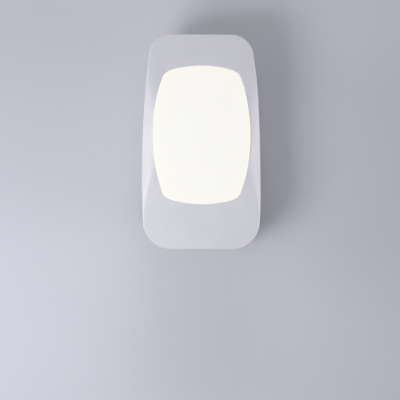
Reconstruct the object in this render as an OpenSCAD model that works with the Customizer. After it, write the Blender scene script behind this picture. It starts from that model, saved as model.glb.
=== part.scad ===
// Plug in night light: an arched housing with a glowing opal lens and a side switch.
// The origin is the centre of the plug face, midway between the blades.
// +X is right as seen from the front, +Y points into the wall and +Z is up.
// A "depth" is a distance in front of the plug face, so it is measured along -Y.

/* [Housing] */
// Widest width of the housing
housing_width = 64.4; // [60:0.2:72]
// Height from the bottom edge to the top edge
housing_height = 116.8; // [114:0.2:130]
// Height of the blades above the bottom edge
plug_height = 13.2; // [12.8:0.2:16]
// Height of the widest point above the bottom edge
widest_height = 41.3; // [36:0.1:46]
// Radius of the long side curves
side_radius = 530; // [450:5:700]
// Radius of the two top corners
top_corner_radius = 12; // [10:0.5:15]
// Radius of the two bottom corners
bottom_corner_radius = 15; // [12:0.5:18]
// Wall thickness of both shells
wall = 2.2; // [2:0.1:2.6]
// Depth of the flat back, behind which the plug boss stands out
back_depth = 1.5; // [1:0.1:2]
// Depth of the line where the two shells part
parting_depth = 12; // [11.5:0.1:12.6]
// Depth of the sharp edge around the front
rim_depth = 22; // [21.6:0.1:26]
// Height of the front's long arch above that edge
arch_rise = 5; // [4.6:0.1:6]
// Slope of the facets down both sides of the front
facet_angle = 42; // [38:1:46]
// Chamfer around the back
back_chamfer = 1.6; // [1:0.1:1.8]
// Thickness and height of the tongue where the shells meet
tongue = 1; // [0.8:0.1:1.2]
// Width and height of the bare label recess in the back
label_size = [34, 22]; // [18:0.5:35]
// Height of the label recess's centre above the driver board's centre
label_rise = 6; // [0:0.5:14]
// Depth of the label recess
label_depth = 0.3; // [0.2:0.05:0.4]
// Radius of the two round pads that keep the back parallel to the wall
pad_radius = 3; // [2.5:0.1:4]
// Distance of those pads below the lens's top
pad_drop = 2; // [0:0.5:6]

/* [Lens] */
// Margin between the lens and the widest side of the housing
lens_side_margin = 5.9; // [5.5:0.1:8]
// Margin between the lens and the top edge of the housing
lens_top_margin = 17.6; // [17.4:0.1:21]
// Margin between the lens and the bottom edge of the housing
lens_bottom_margin = 24.5; // [23:0.1:27]
// Radius of the lens's long sides
lens_side_radius = 92; // [85:1:120]
// Radius of the lens's top and bottom edges
lens_end_radius = 59; // [54:1:70]
// Radius of the lens's corners
lens_corner_radius = 4; // [3:0.2:6]
// Radius of the lens's domed face
lens_dome_radius = 185; // [180:1:200]
// Height of the dome above the front's arch
lens_rise = 2.5; // [2.2:0.1:3]
// Thickness of the lens
lens_wall = 1.8; // [1.4:0.1:2]
// Width of the flange behind the front wall
lens_flange = 1.6; // [1.2:0.1:1.8]
// Thickness of that flange
flange_thickness = 1.4; // [1:0.1:1.6]

/* [Light tray] */
// Distance from the front's edge back to the rear of the tray
tray_recess = 4.9; // [4.6:0.1:5.1]
// Thickness of the tray's floor and ears
tray_floor = 1.2; // [1:0.1:1.4]
// Thickness of the tray's side walls
tray_wall = 1.4; // [1:0.1:1.6]
// Distance between the two ears at either end
ear_spread = 24; // [20:0.5:26]
// Distance of the ear screws beyond the lens
ear_reach = 5; // [4.8:0.1:5.2]
// Radius of each ear
ear_radius = 3; // [2.6:0.1:3.2]

/* [LED board] */
// Margin between the board and the lens's sides
led_board_side_margin = 6.3; // [6:0.1:8]
// Margin between the board and the lens's ends
led_board_end_margin = 8.35; // [8:0.05:10]
// Distance of the board behind the tray
led_board_gap = 1; // [0.9:0.1:1.2]
// Number of columns of LEDs
led_columns = 3; // [2:1:3]
// Number of rows of LEDs
led_rows = 4; // [3:1:4]
// Distance from the board's sides to the outer columns
led_side_inset = 6; // [5.4:0.1:7]
// Distance from the board's ends to the outer rows
led_end_inset = 8; // [8:0.1:10]
// Width and height of one LED
led_face = [3.5, 2.8]; // [2.4:0.1:3.6]
// Thickness of one LED
led_thickness = 0.8; // [0.6:0.05:1]
// Clearance around each LED in the tray
led_window = 0.75; // [0.5:0.05:0.8]

/* [Driver] */
// Width of the driver board
driver_width = 40; // [38:0.5:42]
// Height of the driver board
driver_height = 46; // [44:0.5:47]
// Height of its bottom edge above the blades
driver_bottom = 14; // [13.5:0.1:15]
// Thickness of both circuit boards
board_thickness = 1.6; // [1.4:0.1:1.7]
// Height of the stand-offs under the driver board
standoff_height = 2; // [1.8:0.1:2.2]
// Distance of the driver's and LED board's screws from their edges
board_screw_inset = 3.2; // [3:0.1:3.4]
// Width and height of the dropper capacitor
film_face = [13, 11]; // [9:0.5:13]
// Thickness of the dropper capacitor
film_thickness = 5.4; // [5:0.1:5.7]
// Radius of the smoothing capacitor
electrolytic_radius = 3.1; // [2.8:0.1:3.2]
// Length of the smoothing capacitor
electrolytic_length = 11.5; // [10:0.5:12]
// Distance between that capacitor's two leads
electrolytic_lead_pitch = 2.5; // [2:0.1:3]
// Width and height of the bridge rectifier
bridge_face = [6.4, 5]; // [4.6:0.1:6.6]
// Thickness of the bridge rectifier
bridge_thickness = 2.6; // [2.2:0.1:2.8]
// Distance between the rectifier's legs along one side
bridge_leg_pitch = 2.6; // [2.2:0.1:2.8]
// Radius of the fusible resistor
fusible_radius = 1.6; // [1.4:0.1:1.8]
// Radius of the bleeder resistor
bleeder_radius = 1.2; // [1:0.1:1.4]
// Length of both resistors
resistor_length = 8; // [7:0.5:9]
// Width and height of a chip resistor
chip_face = [3.2, 1.6]; // [1.2:0.1:3.4]
// Thickness of a chip resistor
chip_thickness = 0.6; // [0.4:0.05:0.7]
// Thickness of the components' leads
lead_size = 0.6; // [0.5:0.05:0.7]
// Reach of a lead beyond its component's body
lead_reach = 1.2; // [1:0.1:1.4]
// Gap between the board and the components that stand on leads
lead_lift = 0.2; // [0.1:0.05:0.3]

/* [Driver layout, from the board's centre] */
// Distance of the two columns of components from the middle
column_x = 8.5; // [8:0.1:9]
// Height of the dropper capacitor, in the left column
film_z = -7; // [-8:0.1:-6]
// Height of the fusible resistor, in the left column
fusible_z = 4; // [3.5:0.1:5]
// Height of the bleeder resistor, in the left column
bleeder_z = 10; // [9:0.1:12]
// Height of the bridge rectifier, in the right column
bridge_z = -14.5; // [-15.5:0.1:-14.2]
// Height of the smoothing capacitor, in the right column
electrolytic_z = -4; // [-4.2:0.1:-3]
// Height of the three chip resistors, in the right column
chips_z = 8; // [6:0.5:14]
// Distance between the chip resistors
chip_pitch = 4.6; // [4.2:0.1:5]
// Distance of the wires' two pairs of solder pads from the middle
pads_x = 7; // [6:0.1:8]
// Height of those pads
pads_z = 19.5; // [18:0.1:20]
// Distance between the two pads of a pair
pad_pitch = 4; // [3.6:0.1:4.4]
// Height of the blades' two solder pads above the board's bottom edge
blade_pad_inset = 3; // [2.6:0.1:4]

/* [Plug] */
// Distance between the blades' centres
blade_spacing = 12.7; // [12.5:0.1:12.9]
// Thickness of both blades
blade_thickness = 1.5; // [1.4:0.05:1.6]
// Height of the narrow blade
line_blade_height = 6.35; // [6.2:0.05:6.5]
// Height of the wide blade
neutral_blade_height = 7.9; // [7.7:0.05:8]
// Length of the blades beyond the plug face
blade_length = 17; // [16:0.1:18]
// Radius of the hole near each blade's tip
blade_hole_radius = 1.6; // [1.4:0.1:1.7]
// Distance of that hole from the plug face
blade_hole_reach = 11.9; // [11.5:0.1:12.5]
// Width of the raised plug boss
boss_width = 30; // [28:0.5:31]
// Height of the raised plug boss
boss_height = 20; // [19:0.2:20.6]
// Corner radius of the raised plug boss
boss_corner_radius = 4; // [3:0.5:6]
// Chamfer at the blades' tips
blade_chamfer = 1.4; // [1:0.1:1.8]
// Thickness of the shoulders that stop the blades behind the wall
shoulder_thickness = 1.5; // [1.3:0.1:1.7]
// Height of a shoulder above and below its blade
shoulder_overhang = 2; // [1.6:0.1:2.1]
// Height of the solder tab behind each blade
tab_height = 4; // [3.6:0.1:4.4]
// Reach of the solder tab beyond the retainer plate
tab_reach = 2.2; // [1.8:0.1:2.4]
// Thickness of the retainer plate over the blades' shoulders
retainer_thickness = 2; // [1.8:0.1:2.2]
// Distance between the retainer plate's two screws
retainer_spread = 25; // [24:0.2:25.6]
// Height of the retainer plate
retainer_height = 13; // [12.4:0.1:13.4]

/* [Switch] */
// Height of the switch above the blades
switch_height = 73; // [71:0.2:73.4]
// Travel of the button from on to off
switch_travel = 3; // [2.4:0.1:3.2]
// Length of the button's cap
cap_length = 17; // [15:0.5:18]
// Width of that cap
cap_width = 7; // [6:0.2:7.6]
// Height of that cap
cap_height = 1.3; // [1.2:0.05:1.5]
// Length and height of the bevels at its two ends
cap_bevel = [1.35, 0.9]; // [0.6:0.05:1.4]
// Depth of the flat in which the cap runs
flat_recess = 0.3; // [0.3:0.05:0.4]
// Length and width of the button's neck
neck_size = [5, 3]; // [2.8:0.1:5.2]
// Length and width of the foot behind the wall
foot_size = [5, 5]; // [4.6:0.1:5.4]
// Thickness of that foot
foot_thickness = 0.7; // [0.6:0.05:0.8]
// Size of the switch's square lever
lever_size = 2; // [1.8:0.05:2.1]
// Length and width of the lever's base
lever_base_size = [4.4, 4]; // [3:0.1:4.6]
// Thickness of that base
lever_base_thickness = 1.3; // [1:0.1:1.6]
// Length of the switch's body
switch_body_length = 12; // [11.2:0.2:13]
// Width of that body
switch_body_width = 6; // [5.6:0.1:6.4]
// Depth of that body, inwards from the wall
switch_body_depth = 5; // [4.6:0.1:5.4]
// Sheet thickness of the switch's body
can_wall = 0.6; // [0.5:0.05:0.7]
// Length of the switch's three solder lugs
lug_length = 2.6; // [2.2:0.1:2.8]
// Distance between the lugs
lug_pitch = 3; // [2.8:0.1:3.2]
// Height and width of a lug
lug_size = [0.6, 0.9]; // [0.5:0.05:1]
// Wall thickness of the cradle that holds the switch
cradle_wall = 1.2; // [1:0.1:1.4]

/* [Screws] */
// Shaft radius of the four housing screws
housing_screw_radius = 1.3; // [1.1:0.05:1.4]
// Length of the four housing screws
housing_screw_length = 12; // [10:0.2:12.6]
// Shaft radius of all other screws
small_screw_radius = 0.9; // [0.8:0.05:0.95]
// Head radius of the housing screws
housing_head_radius = 2.3; // [2.1:0.05:2.4]
// Head radius of all other screws
small_head_radius = 1.8; // [1.6:0.05:1.9]
// Height of every screw's head
head_height = 1.2; // [1:0.1:1.3]
// Depth of the counterbores for the housing screws' heads
counterbore_seat = 5; // [4.6:0.1:5.4]
// Radius of the posts inside the front shell
post_radius = 3.2; // [2.9:0.1:3.4]
// Wall around the counterbores
counterbore_wall = 1.4; // [1.2:0.1:1.5]
// Distance of the top posts outside the top corners' centres
top_post_outset = 2.5; // [2:0.1:2.8]
// Distance of the top posts below the top edge
top_post_drop = 8.8; // [8.4:0.1:9.4]
// Distance of the bottom posts outside the bottom corners' centres
bottom_post_outset = 3.2; // [2.8:0.1:3.4]
// Height of the bottom posts above the bottom edge
bottom_post_height = 9.9; // [9.4:0.1:10.4]
// Length of the light tray's screws
tray_screw_length = 4.8; // [4:0.1:4.9]
// Radius of the stand-offs under the driver board and the retainer plate
standoff_radius = 2.3; // [2.1:0.1:2.4]
// Radius of the bosses between the light tray and the LED board
led_boss_radius = 2.2; // [2:0.1:2.3]

/* [Wires] */
// Radius of an insulated wire
wire_radius = 0.75; // [0.6:0.05:0.8]
// Distance that a wire aims straight out of both its ends before it turns
wire_bow = 5; // [4:0.1:5.4]
// Height that the LED board's wires climb between the boards
led_wire_climb = 8; // [6:0.5:12]

/* [Hidden] */
fit = 0.1; // clearance between pieces that are pressed or slid together
grip = 0.05; // clearance of a screw's shaft in its pilot hole
free = 0.2; // clearance around screws that only pass through
over = 1; // how far a cut runs past the face it opens, or a foot reaches into its wall
slice = 0.1; // thickness of the slice that stands for a face in a hull
plate_corner_radius = 2; // of the boards, the retainer plate and the label recess
front_limit = rim_depth + 3 * arch_rise; // in front of everything
corner_steps = 9;
side_steps = 14;
fine = 180; // facets of the large curves
$fn = 40;

bottom_z = -plug_height;
top_z = bottom_z + housing_height;
middle_z = (bottom_z + top_z) / 2;
widest_z = bottom_z + widest_height;
half_width = housing_width / 2;
inner_back = back_depth + wall;
arch_radius = (pow(housing_height / 2, 2) + arch_rise * arch_rise) / (2 * arch_rise);
arch_axis_depth = rim_depth + arch_rise - arch_radius;

lens_top = top_z - lens_top_margin;
lens_bottom = bottom_z + lens_bottom_margin;
lens_z = (lens_top + lens_bottom) / 2;
lens_half_height = (lens_top - lens_bottom) / 2;
lens_half_width = half_width - lens_side_margin;
dome_z = (lens_z + middle_z) / 2;
dome_center_depth = rim_depth + arch_rise + lens_rise - lens_dome_radius;
flange_front = wall + fit;
flange_back = flange_front + flange_thickness;

tray_back = rim_depth - tray_recess;
tray_front = tray_back + tray_floor;
ear_z = [lens_top + ear_reach, lens_bottom - ear_reach];
ear_boss_radius = ear_radius - 2 * free;

led_board_front = tray_back - led_board_gap;
led_board_back = led_board_front - board_thickness;
led_board_width = 2 * (lens_half_width - led_board_side_margin);
led_board_height = 2 * (lens_half_height - led_board_end_margin);
led_pitch_x = (led_board_width - 2 * led_side_inset) / (led_columns - 1);
led_pitch_z = (led_board_height - 2 * led_end_inset) / (led_rows - 1);
led_screw_length = board_thickness + led_board_gap + tray_floor - fit;

driver_back = inner_back + standoff_height;
driver_front = driver_back + board_thickness;
driver_z = driver_bottom + driver_height / 2;
driver_screw_length = board_thickness + standoff_height + wall / 3;

retainer_back = inner_back + shoulder_thickness;
retainer_front = retainer_back + retainer_thickness;
retainer_width = retainer_spread + 2 * (standoff_radius + free);
retainer_screw_length = retainer_thickness + shoulder_thickness + wall * 0.9;
tab_tip = retainer_front + tab_reach;

counterbore_radius = housing_head_radius + free;
rear_post_radius = counterbore_radius + counterbore_wall;

switch_slope = asin((switch_height - widest_z) / side_radius);
switch_x = half_width - side_radius * (1 - cos(switch_slope));
slot_size = [neck_size[0] + switch_travel + 4 * fit, neck_size[1] + 2 * fit];
flat_size = [cap_length + switch_travel + 6 * fit, cap_width + 4 * fit];
foot_front = wall + fit;
foot_back = foot_front + foot_thickness;
switch_front = foot_back + 3 * fit;
switch_back = switch_front + switch_body_depth;
lever_front = switch_front + can_wall + fit;
lever_back = lever_front + lever_base_thickness;
lever_tip = flat_recess + cap_height;
button_rest = switch_travel / 2; // the button's place when the light is on, from the switch's centre
cradle_rise = 2; // height of the switch's cradle beyond the line where the shells part
cradle_corner = 3; // length of the cradle's two corners behind the switch's body
cradle_lip = 0.6; // half the width of the stops between the switch's body and the wall
rib_lip = 1.4; // overlap of the front shell's ribs with the switch's body

film_at = [-column_x, driver_z + film_z];
fusible_at = [-column_x, driver_z + fusible_z];
bleeder_at = [-column_x, driver_z + bleeder_z];
bridge_at = [column_x, driver_z + bridge_z];
electrolytic_at = [column_x, driver_z + electrolytic_z];
chip_places = [for (i = [-1:1]) [column_x + i * chip_pitch, driver_z + chips_z]];

// ---------- outlines, as points in the X-Z plane ----------

// Points on an arc about c, leaving out skip steps at both of its ends.
function arc(c, r, from, to, steps, skip = 0) = [
    for (i = [skip:steps - skip]) let (a = from + (to - from) * i / steps)
        [c[0] + r * cos(a), c[1] + r * sin(a)]
];

function flip_x(points) = [for (i = [len(points) - 1:-1:0]) [-points[i][0], points[i][1]]];

// Centre of a corner that is tangent to the right side curve and to a level end.
function corner_center(r, z) = [
    half_width - side_radius + sqrt(pow(side_radius - r, 2) - pow(z - widest_z, 2)), z
];

top_corner = corner_center(top_corner_radius, top_z - top_corner_radius);
bottom_corner = corner_center(bottom_corner_radius, bottom_z + bottom_corner_radius);
side_center = [half_width - side_radius, widest_z];

function angle_from(c, p) = atan2(p[1] - c[1], p[0] - c[0]);

// Outline of the housing, moved inwards by inset.
function housing_points(inset) = let (
    low = angle_from(side_center, bottom_corner),
    high = angle_from(side_center, top_corner),
    right = concat(
        arc(bottom_corner, bottom_corner_radius - inset, -90, low, corner_steps),
        arc(side_center, side_radius - inset, low, high, side_steps, 1),
        arc(top_corner, top_corner_radius - inset, high, 90, corner_steps)
    )
) concat(right, flip_x(right));

// Outline of the lens about its own centre: four bowed edges and four round corners.
function lens_points(inset) = let (
    side = [lens_half_width - lens_side_radius, 0],
    end = [0, lens_half_height - lens_end_radius],
    side_reach = lens_side_radius - lens_corner_radius,
    end_reach = lens_end_radius - lens_corner_radius,
    apart = norm(end - side),
    along = (side_reach * side_reach - end_reach * end_reach + apart * apart) / (2 * apart),
    across = sqrt(side_reach * side_reach - along * along),
    toward = (end - side) / apart,
    corner = side + along * toward + across * [-toward[1], toward[0]],
    low = angle_from(side, corner),
    high = angle_from(end, corner),
    quarter = concat(
        arc(side, lens_side_radius - inset, 0, low, 6),
        arc(corner, lens_corner_radius - inset, low, high, 5, 1),
        arc(end, lens_end_radius - inset, high, 90, 5)
    ),
    right = [for (i = [len(quarter) - 2:-1:1]) [quarter[i][0], -quarter[i][1]]],
    left = [for (i = [len(quarter) - 2:-1:0]) [-quarter[i][0], quarter[i][1]]],
    below = [for (i = [1:len(quarter) - 1]) [-quarter[i][0], -quarter[i][1]]]
) concat(quarter, left, below, right);

function rounded_points(size, r) = let (x = size[0] / 2 - r, y = size[1] / 2 - r) concat(
    arc([x, -y], r, -90, 0, 4),
    arc([x, y], r, 0, 90, 4),
    arc([-x, y], r, 90, 180, 4),
    arc([-x, -y], r, 180, 270, 4)
);

module housing_outline(inset = 0) polygon(housing_points(inset));
module lens_outline(inset = 0) translate([0, lens_z]) polygon(lens_points(inset));
module rounded(size, r) polygon(rounded_points(size, r));

// ---------- building blocks ----------

// An outline in the X-Z plane, filled from one depth to another.
module slab(from, to) translate([0, -from, 0]) rotate([90, 0, 0]) linear_extrude(to - from) children();

module post(x, z, from, to, r) translate([x, -from, z]) rotate([90, 0, 0]) cylinder(h = to - from, r = r);

// A box by its centre in X and Z, its size there, and its two depths.
module block(x, z, size, from, to)
    translate([x - size[0] / 2, -to, z - size[1] / 2]) cube([size[0], to - from, size[1]]);

// The space behind one side facet: a cone about the axis of the housing's side curve,
// from inner inside that curve, past the far side of the housing, to outer outside it.
module behind_facet(inset) {
    slope = tan(facet_angle);
    back = rim_depth - inset / cos(facet_angle);
    inner = 1.1 * housing_width;
    outer = wall;
    sweep = 2 * asin(housing_height / (side_radius - inner));
    translate([side_center[0], 0, side_center[1]]) rotate([90, 0, 0]) rotate([0, 0, -sweep / 2])
        rotate_extrude(angle = sweep, $fn = fine) polygon([
            [side_radius - inner, -over], [side_radius + outer, -over],
            [side_radius + outer, back - outer * slope], [side_radius - inner, back + inner * slope]
        ]);
}

// Everything behind the front's surface, with that surface moved inwards by inset.
module behind_front(inset = 0) {
    intersection() {
        slab(0, front_limit) housing_outline(inset);
        translate([0, -arch_axis_depth, middle_z]) rotate([0, 90, 0])
            cylinder(h = 2 * housing_width, r = arch_radius - inset, center = true, $fn = fine);
        behind_facet(inset);
        mirror([1, 0, 0]) behind_facet(inset);
    }
}

module dome(inset = 0)
    translate([0, -dome_center_depth, dome_z]) sphere(r = lens_dome_radius - inset, $fn = fine);

// A pan head screw along +Z, its head below z = 0 and a cross recess in the head.
module screw(length, shaft_radius, head_radius) {
    recess = [1.2 * head_radius, head_radius / 4, 1.2 * head_height];
    difference() {
        translate([0, 0, -head_height]) cylinder(h = head_height, r = head_radius);
        for (turn = [0, 90])
            rotate([0, 0, turn]) translate([0, 0, -head_height]) cube(recess, center = true);
    }
    cylinder(h = length, r = shaft_radius);
}

module screw_forward(x, z, seat, length, shaft_radius, head_radius)
    translate([x, -seat, z]) rotate([90, 0, 0]) screw(length, shaft_radius, head_radius);

module screw_back(x, z, seat, length, shaft_radius, head_radius)
    translate([x, -seat, z]) rotate([-90, 0, 0]) screw(length, shaft_radius, head_radius);

// Places of the fasteners, each as a list of [x, z].
housing_posts = [
    for (s = [-1, 1]) each [
        [s * (top_corner[0] + top_post_outset), top_z - top_post_drop],
        [s * (bottom_corner[0] + bottom_post_outset), bottom_z + bottom_post_height]
    ]
];
retainer_screws_x = [-retainer_spread / 2, retainer_spread / 2];
tray_ears = [for (s = [-1, 1]) for (z = ear_z) [s * ear_spread / 2, z]];
led_board_posts = [
    for (s = [-1, 1]) for (t = [-1, 1]) [
        s * (led_board_width / 2 - board_screw_inset),
        lens_z + t * (led_board_height / 2 - board_screw_inset)
    ]
];
driver_posts = [
    for (s = [-1, 1]) for (t = [-1, 1]) [
        s * (driver_width / 2 - board_screw_inset),
        driver_z + t * (driver_height / 2 - board_screw_inset)
    ]
];
led_places = [
    for (i = [0:led_columns - 1]) for (j = [0:led_rows - 1]) [
        (i - (led_columns - 1) / 2) * led_pitch_x,
        lens_z + (j - (led_rows - 1) / 2) * led_pitch_z
    ]
];

// The switch's own frame: +X outwards from the side wall, +Z along its travel.
module at_switch()
    translate([switch_x, -parting_depth, switch_height]) rotate([0, -switch_slope, 0]) children();

// A box in that frame, between two distances inside the outer wall and centred on it otherwise.
module switch_box(length, width, from, to, shift = 0)
    at_switch() translate([-to, -width / 2, shift - length / 2]) cube([to - from, width, length]);

module switch_opening() {
    switch_box(flat_size[0], flat_size[1], -over, flat_recess);
    switch_box(slot_size[0], slot_size[1], -over, wall + over);
}

// ---------- housing ----------

module front_shell() {
    color("white") difference() {
        union() {
            difference() {
                behind_front();
                behind_front(wall);
            }
            intersection() {
                behind_front(wall / 2);
                union() {
                    for (p = housing_posts) post(p[0], p[1], parting_depth, front_limit, post_radius);
                    for (p = tray_ears) post(p[0], p[1], tray_front, front_limit, ear_boss_radius);
                    for (t = [-1, 1]) switch_front_rib(t * switch_body_length / 4);
                }
            }
        }
        slab(-over, parting_depth) housing_outline(-over);
        slab(parting_depth - over, parting_depth + tongue + fit) difference() {
            housing_outline(wall - tongue - fit);
            for (p = housing_posts) translate(p) circle(r = post_radius + fit);
        }
        slab(tray_back, front_limit) lens_outline(-fit);
        switch_opening();
        for (p = housing_posts)
            post(p[0], p[1], parting_depth - over, counterbore_seat + housing_screw_length + fit,
                housing_screw_radius + grip);
        for (p = tray_ears)
            post(p[0], p[1], tray_front - over, tray_back + tray_screw_length + fit,
                small_screw_radius + grip);
    }
}

// One of two ribs that stop the switch's body from the front.
module switch_front_rib(shift) {
    front = front_limit - parting_depth;
    at_switch() translate([-switch_front - rib_lip, -front, shift - cradle_wall / 2])
        cube([switch_front + rib_lip - wall / 2, front - switch_body_width / 2 - fit, cradle_wall]);
}

module rear_shell() {
    color("whitesmoke") difference() {
        union() {
            difference() {
                hull() {
                    slab(back_depth, back_depth + slice) housing_outline(back_chamfer);
                    slab(back_depth + back_chamfer, parting_depth) housing_outline();
                }
                slab(inner_back, parting_depth + over) housing_outline(wall);
            }
            slab(parting_depth - 2 * tongue, parting_depth + tongue) difference() {
                housing_outline(wall - tongue);
                housing_outline(wall);
            }
            slab(0, back_depth + over) rounded([boss_width, boss_height], boss_corner_radius);
            for (s = [-1, 1]) post(s * top_corner[0], lens_top - pad_drop, 0, back_depth + over, pad_radius);
            for (p = housing_posts) post(p[0], p[1], back_depth + over, parting_depth, rear_post_radius);
            for (p = driver_posts) post(p[0], p[1], inner_back - over, driver_back, standoff_radius);
            for (x = retainer_screws_x) post(x, 0, inner_back - over, retainer_back, standoff_radius);
            switch_cradle();
        }
        switch_opening();
        slab(back_depth - over, back_depth + label_depth)
            translate([0, driver_z + label_rise]) rounded(label_size, plate_corner_radius);
        for (p = housing_posts) {
            post(p[0], p[1], -over, counterbore_seat, counterbore_radius);
            post(p[0], p[1], 0, parting_depth + over, housing_screw_radius + free);
        }
        for (p = driver_posts)
            post(p[0], p[1], driver_front - driver_screw_length - fit, driver_back + over,
                small_screw_radius + grip);
        for (x = retainer_screws_x)
            post(x, 0, retainer_front - retainer_screw_length - fit, retainer_back + over,
                small_screw_radius + grip);
        blade_slot(blade_spacing / 2, line_blade_height);
        blade_slot(-blade_spacing / 2, neutral_blade_height);
    }
}

module blade_slot(x, height)
    block(x, 0, [blade_thickness + 2 * fit, height + 2 * fit], -over, inner_back + over);

// Cheeks, corners, seat and stops that hold the switch's body behind the side wall.
module switch_cradle() {
    floor_y = parting_depth - inner_back + over;
    end = switch_body_length / 2 + fit;
    seat = switch_body_width / 2 + fit;
    back = switch_back + fit;
    tall = floor_y + cradle_rise;
    intersection() {
        at_switch() for (t = [-1, 1]) {
            translate([-back - cradle_wall, -cradle_rise, t * (end + cradle_wall / 2) - cradle_wall / 2])
                cube([back + cradle_wall, tall, cradle_wall]);
            translate([-back - cradle_wall, -cradle_rise,
                t * (end + cradle_wall - cradle_corner / 2) - cradle_corner / 2])
                cube([cradle_wall, tall, cradle_corner]);
            translate([-back - cradle_wall, seat, t * end / 2 - cradle_wall / 2])
                cube([back + cradle_wall, floor_y - seat, cradle_wall]);
            translate([-switch_front + fit, -cradle_rise, t * end - cradle_lip])
                cube([switch_front - fit, tall, 2 * cradle_lip]);
        }
        union() {
            slab(0, parting_depth) housing_outline(wall / 2);
            slab(0, parting_depth + cradle_rise) housing_outline(wall + free);
        }
    }
}

// ---------- lens and tray ----------

module diffuser_lens() {
    color("ivory") difference() {
        union() {
            intersection() {
                slab(tray_back, front_limit) lens_outline();
                dome();
            }
            intersection() {
                slab(tray_back, front_limit) lens_outline(-lens_flange);
                behind_front(flange_front);
            }
        }
        intersection() {
            slab(0, front_limit) lens_outline(lens_wall);
            dome(lens_wall);
        }
        behind_front(flange_back);
    }
}

module reflector_tray() {
    color("white") difference() {
        union() {
            difference() {
                intersection() {
                    slab(tray_back, front_limit) lens_outline(-lens_flange);
                    behind_front(flange_back + fit);
                }
                slab(tray_front, front_limit) lens_outline(tray_wall - lens_flange);
            }
            slab(tray_back, tray_front) for (p = tray_ears) {
                root = ear_reach + 2 * ear_radius;
                translate(p) circle(r = ear_radius);
                translate(p + [0, sign(lens_z - p[1]) * root / 2])
                    square([2 * ear_radius, root], center = true);
            }
            for (p = led_board_posts)
                post(p[0], p[1], led_board_front, tray_back + tray_floor / 2, led_boss_radius);
        }
        for (p = led_places)
            block(p[0], p[1], led_face + 2 * [led_window, led_window], tray_back - over, tray_front + over);
        for (p = led_board_posts)
            post(p[0], p[1], led_board_front - over, tray_front + over, small_screw_radius + grip);
        for (p = tray_ears)
            post(p[0], p[1], tray_back - over, tray_front + over, small_screw_radius + free);
    }
}

module tray_screws() {
    color("silver") for (p = tray_ears)
        screw_forward(p[0], p[1], tray_back, tray_screw_length, small_screw_radius, small_head_radius);
}

// ---------- LED board ----------

module led_board() {
    color("white") difference() {
        slab(led_board_back, led_board_front)
            translate([0, lens_z]) rounded([led_board_width, led_board_height], plate_corner_radius);
        for (p = led_board_posts)
            post(p[0], p[1], led_board_back - over, led_board_front + over, small_screw_radius + free);
    }
}

module leds() {
    color("lemonchiffon") for (p = led_places)
        block(p[0], p[1], led_face, led_board_front, led_board_front + led_thickness);
}

module led_board_screws() {
    color("silver") for (p = led_board_posts)
        screw_forward(p[0], p[1], led_board_back, led_screw_length, small_screw_radius, small_head_radius);
}

// ---------- driver board and its components ----------

module driver_board() {
    color("darkgreen") difference() {
        slab(driver_back, driver_front)
            translate([0, driver_z]) rounded([driver_width, driver_height], plate_corner_radius);
        for (p = driver_posts)
            post(p[0], p[1], driver_back - over, driver_front + over, small_screw_radius + free);
    }
}

module driver_board_screws() {
    color("silver") for (p = driver_posts)
        screw_back(p[0], p[1], driver_front, driver_screw_length, small_screw_radius, small_head_radius);
}

// A lead that leaves its component at p in the X-Z direction way and bends down to the board.
module bent_lead(p, way, axis) {
    bend = p + lead_reach * way;
    front = axis + lead_size / 2;
    along = [abs(way[0]), abs(way[1])];
    block((p[0] + bend[0]) / 2, (p[1] + bend[1]) / 2, [lead_size, lead_size] + lead_reach * along,
        axis - lead_size / 2, front);
    block(bend[0], bend[1], [lead_size, lead_size], driver_front, front);
}

module film_capacitor() {
    color("goldenrod")
        block(film_at[0], film_at[1], film_face, driver_front, driver_front + film_thickness);
}

// A can lying along Z, with both its leads at the lower end.
module electrolytic_capacitor() {
    axis = driver_front + electrolytic_radius;
    low = electrolytic_at - [0, electrolytic_length / 2];
    color("midnightblue") {
        translate([low[0], -axis, low[1]]) cylinder(h = electrolytic_length, r = electrolytic_radius);
        for (s = [-1, 1]) bent_lead(low + [s * electrolytic_lead_pitch / 2, 0], [0, -1], axis);
    }
}

module bridge_rectifier() {
    color("dimgray") {
        block(bridge_at[0], bridge_at[1], bridge_face, driver_front + lead_lift,
            driver_front + bridge_thickness);
        for (t = [-1, 1])
            block(bridge_at[0], bridge_at[1] + t * bridge_leg_pitch / 2,
                [bridge_face[0] + 2 * lead_reach, lead_size], driver_front, driver_front + lead_size);
    }
}

// A resistor lying along X, with a lead at each end.
module axial_resistor(at, radius) {
    axis = driver_front + lead_lift + radius;
    translate([at[0] - resistor_length / 2, -axis, at[1]]) rotate([0, 90, 0])
        cylinder(h = resistor_length, r = radius);
    for (s = [-1, 1]) bent_lead(at + [s * resistor_length / 2, 0], [s, 0], axis);
}

module fusible_resistor() color("darkseagreen") axial_resistor(fusible_at, fusible_radius);
module bleeder_resistor() color("tan") axial_resistor(bleeder_at, bleeder_radius);

module chip_resistors() {
    color("black") for (p = chip_places)
        block(p[0], p[1], chip_face, driver_front, driver_front + chip_thickness);
}

// ---------- switch ----------

module slide_switch_body() {
    color("silver") difference() {
        switch_box(switch_body_length, switch_body_width, switch_front, switch_back);
        switch_box(switch_body_length - 2 * can_wall, switch_body_width - 2 * can_wall,
            switch_front + can_wall, switch_back - 2 * can_wall);
        switch_box(lever_size + switch_travel + 2 * free, lever_size + 2 * free,
            switch_front - over, switch_front + can_wall + over);
    }
}

module switch_terminals() {
    color("gold") for (i = [-1:1])
        switch_box(lug_size[0], lug_size[1], switch_back, switch_back + lug_length, i * lug_pitch);
}

module slide_switch_lever() {
    color("black") {
        switch_box(lever_size, lever_size, lever_tip, lever_back, button_rest);
        switch_box(lever_base_size[0], lever_base_size[1], lever_front, lever_back, button_rest);
    }
}

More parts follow.
